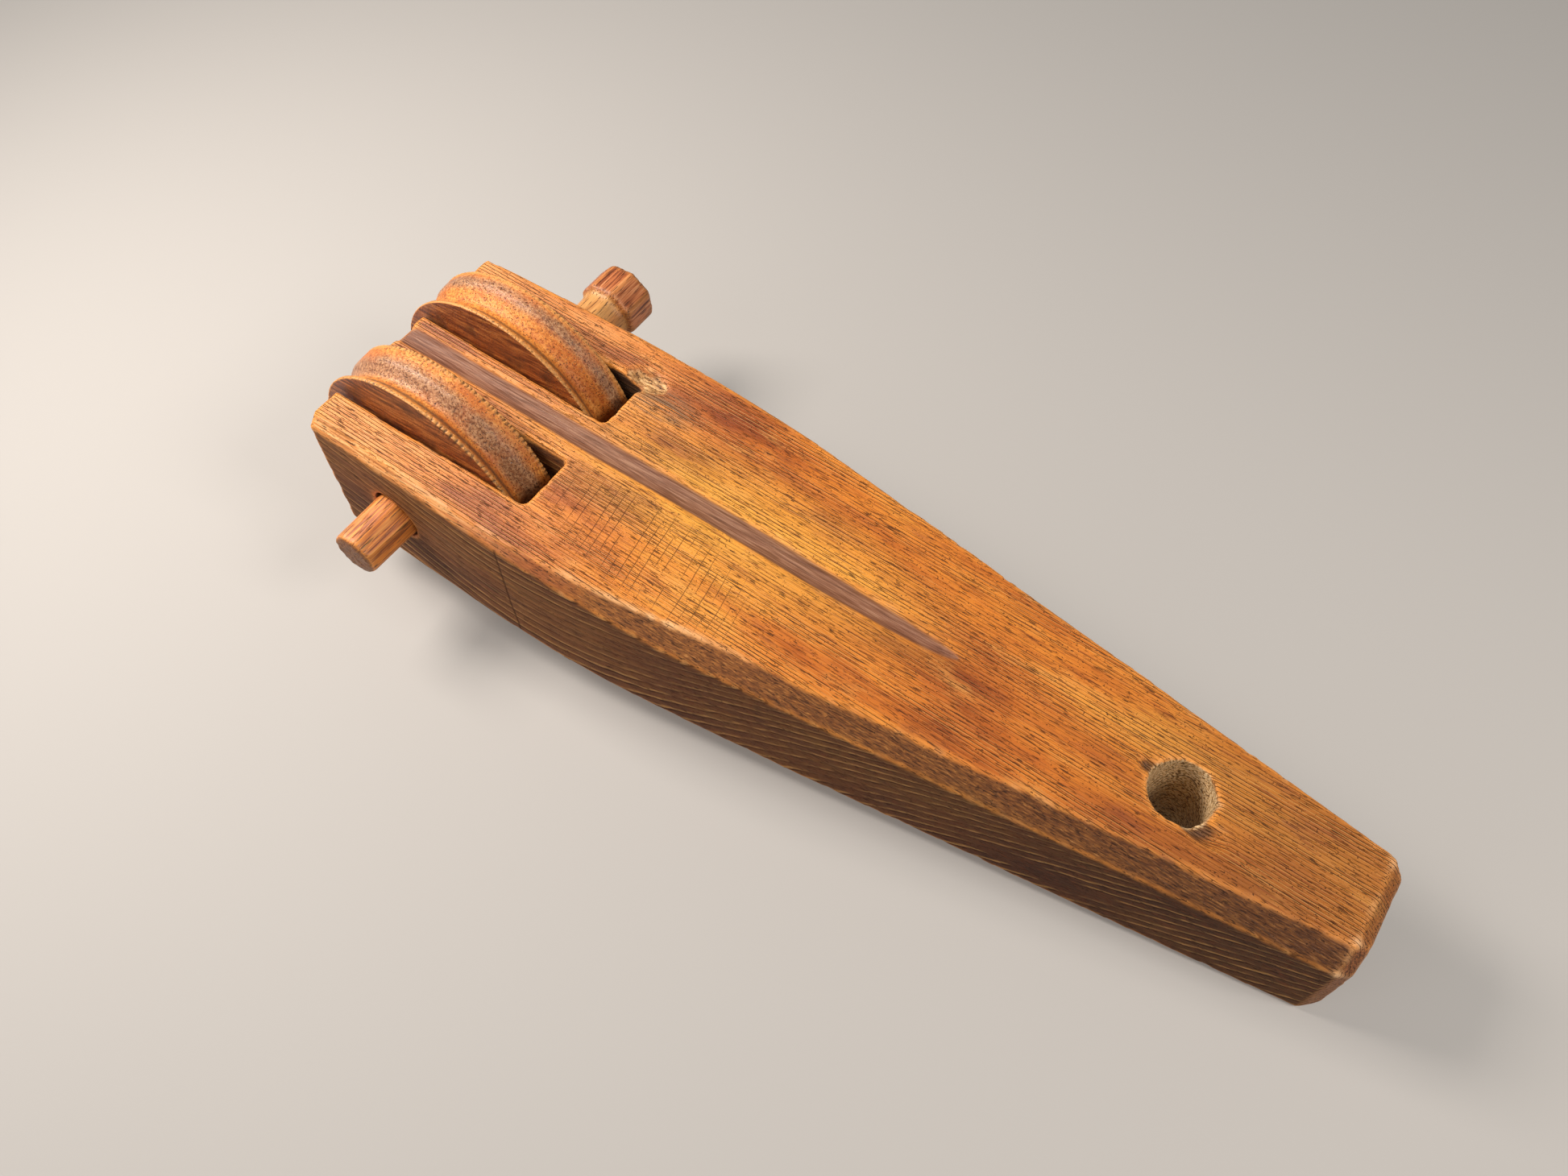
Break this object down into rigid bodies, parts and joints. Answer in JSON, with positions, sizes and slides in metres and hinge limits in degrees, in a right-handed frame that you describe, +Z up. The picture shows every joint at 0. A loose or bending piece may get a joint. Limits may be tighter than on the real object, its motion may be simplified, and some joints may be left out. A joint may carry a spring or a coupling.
{
  "type": "double sheave wooden pulley block",
  "caption": "Tapered wooden pulley block with grooved wooden sheaves side by side in open slots, turning on a headed wooden axle peg, with a rope hole through its narrow tail.",
  "frame": {"origin": "middle of the bounding box, on the surface that the block lies on", "axes": "+X from the slotted end towards the tail, +Y from the peg's thin end towards its head and along the axle, +Z up as the block lies on its two sheaves and the lower edge of its tail"},
  "size_m": [0.415, 0.1676, 0.102],
  "materials": {
    "oiled_hardwood": "worn, hand-rubbed oil over coarse open grain",
    "sheave_wood": "rope-polished hardwood, dark on its cheeks",
    "peg_wood": "whittled oak, worn semi-matt"
  },
  "bodies": {
    "block": {"block_body": "oiled_hardwood"},
    "near_sheave": {"near_sheave": "sheave_wood"},
    "far_sheave": {"far_sheave": "sheave_wood"},
    "peg": {"axle_peg": "peg_wood"}
  },
  "joints": [
    {"name": "near_sheave_spin", "type": "hinge", "parent": "block", "child": "near_sheave", "pos_m": [-0.1565, -0.03225, 0.051], "axis": [0, 1, 0], "continuous": true},
    {"name": "far_sheave_spin", "type": "hinge", "parent": "block", "child": "far_sheave", "pos_m": [-0.1565, 0.01375, 0.051], "axis": [0, 1, 0], "continuous": true},
    {"name": "peg_slide", "type": "slide", "parent": "block", "child": "peg", "axis": [0, 1, 0], "range_m": [-0.023, 0.13]}
  ]
}
